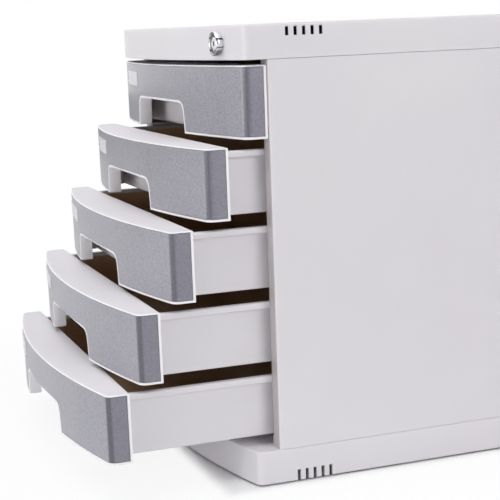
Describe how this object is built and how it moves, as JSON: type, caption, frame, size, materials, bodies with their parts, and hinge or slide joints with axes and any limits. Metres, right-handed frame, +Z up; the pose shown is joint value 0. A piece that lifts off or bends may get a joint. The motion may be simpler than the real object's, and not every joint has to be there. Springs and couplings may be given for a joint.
{
  "type": "desktop file drawer",
  "caption": "Desktop file cabinet with stacked sliding trays, bowed fronts with finger notches and labels, and a key lock that drives a locking bar.",
  "frame": {"origin": "middle of the bounding box in plan, on the surface that the feet stand on, with the drawers as pictured", "axes": "+Z up, the drawer fronts face -Y and +X is on the right seen from the front"},
  "size_m": [0.3058, 0.507, 0.3265],
  "materials": {
    "cabinet_plastic": "satin moulded white",
    "tray_plastic": "satin moulded white",
    "face_grey": "fine pearl grey",
    "liner_board": "plain brown board",
    "label_card": "plain white card",
    "label_window": "clear",
    "foot_rubber": "matt",
    "lock_chrome": "polished",
    "lock_zinc": "zinc plated",
    "screw_steel": "zinc plated"
  },
  "bodies": {
    "cabinet": {"base": "cabinet_plastic", "top_cover": "cabinet_plastic", "side_panel_left": "cabinet_plastic", "side_panel_right": "cabinet_plastic", "back_panel": "cabinet_plastic", "foot_front_left": "foot_rubber", "base_screw_front_left": "screw_steel", "cover_screw_front_left": "screw_steel", "foot_front_right": "foot_rubber", "base_screw_front_right": "screw_steel", "cover_screw_front_right": "screw_steel", "foot_rear_left": "foot_rubber", "base_screw_rear_left": "screw_steel", "cover_screw_rear_left": "screw_steel", "foot_rear_right": "foot_rubber", "base_screw_rear_right": "screw_steel", "cover_screw_rear_right": "screw_steel", "lock_housing": "lock_chrome", "lock_nut": "lock_zinc", "lock_bar_guide_1": "tray_plastic", "lock_bar_guide_2": "tray_plastic"},
    "drawer_1": {"drawer_1_tray": "tray_plastic", "drawer_1_liner": "liner_board", "drawer_1_front": "cabinet_plastic", "drawer_1_face": "face_grey", "drawer_1_label_card": "label_card", "drawer_1_label_window": "label_window"},
    "drawer_2": {"drawer_2_tray": "tray_plastic", "drawer_2_liner": "liner_board", "drawer_2_front": "cabinet_plastic", "drawer_2_face": "face_grey", "drawer_2_label_card": "label_card", "drawer_2_label_window": "label_window"},
    "drawer_3": {"drawer_3_tray": "tray_plastic", "drawer_3_liner": "liner_board", "drawer_3_front": "cabinet_plastic", "drawer_3_face": "face_grey", "drawer_3_label_card": "label_card", "drawer_3_label_window": "label_window"},
    "drawer_4": {"drawer_4_tray": "tray_plastic", "drawer_4_liner": "liner_board", "drawer_4_front": "cabinet_plastic", "drawer_4_face": "face_grey", "drawer_4_label_card": "label_card", "drawer_4_label_window": "label_window"},
    "drawer_5": {"drawer_5_tray": "tray_plastic", "drawer_5_liner": "liner_board", "drawer_5_front": "cabinet_plastic", "drawer_5_face": "face_grey", "drawer_5_label_card": "label_card", "drawer_5_label_window": "label_window"},
    "lock_core": {"lock_plug": "lock_chrome", "lock_cam": "lock_zinc", "lock_cam_screw": "screw_steel"},
    "locking_bar": {"lock_bar": "lock_zinc"}
  },
  "joints": [
    {"name": "drawer_1_slide", "type": "slide", "parent": "cabinet", "child": "drawer_1", "axis": [0, -1, 0], "range_m": [0, 0.24]},
    {"name": "drawer_2_slide", "type": "slide", "parent": "cabinet", "child": "drawer_2", "axis": [0, -1, 0], "range_m": [-0.02952, 0.21048]},
    {"name": "drawer_3_slide", "type": "slide", "parent": "cabinet", "child": "drawer_3", "axis": [0, -1, 0], "range_m": [-0.05712, 0.18288]},
    {"name": "drawer_4_slide", "type": "slide", "parent": "cabinet", "child": "drawer_4", "axis": [0, -1, 0], "range_m": [-0.08328, 0.15672]},
    {"name": "drawer_5_slide", "type": "slide", "parent": "cabinet", "child": "drawer_5", "axis": [0, -1, 0], "range_m": [-0.108, 0.132]},
    {"name": "lock_turn", "type": "hinge", "parent": "cabinet", "child": "lock_core", "pos_m": [0.1211, -0.1285, 0.3143], "axis": [0, 1, 0], "range_deg": [0, 90]},
    {"name": "locking_bar_slide", "type": "slide", "parent": "cabinet", "child": "locking_bar", "axis": [0, 0, -1], "range_m": [0, 0.00848]}
  ],
  "couplings": [
    {"joint": "lock_turn", "follows": "locking_bar_slide", "rad_per_m": 185.12}
  ]
}
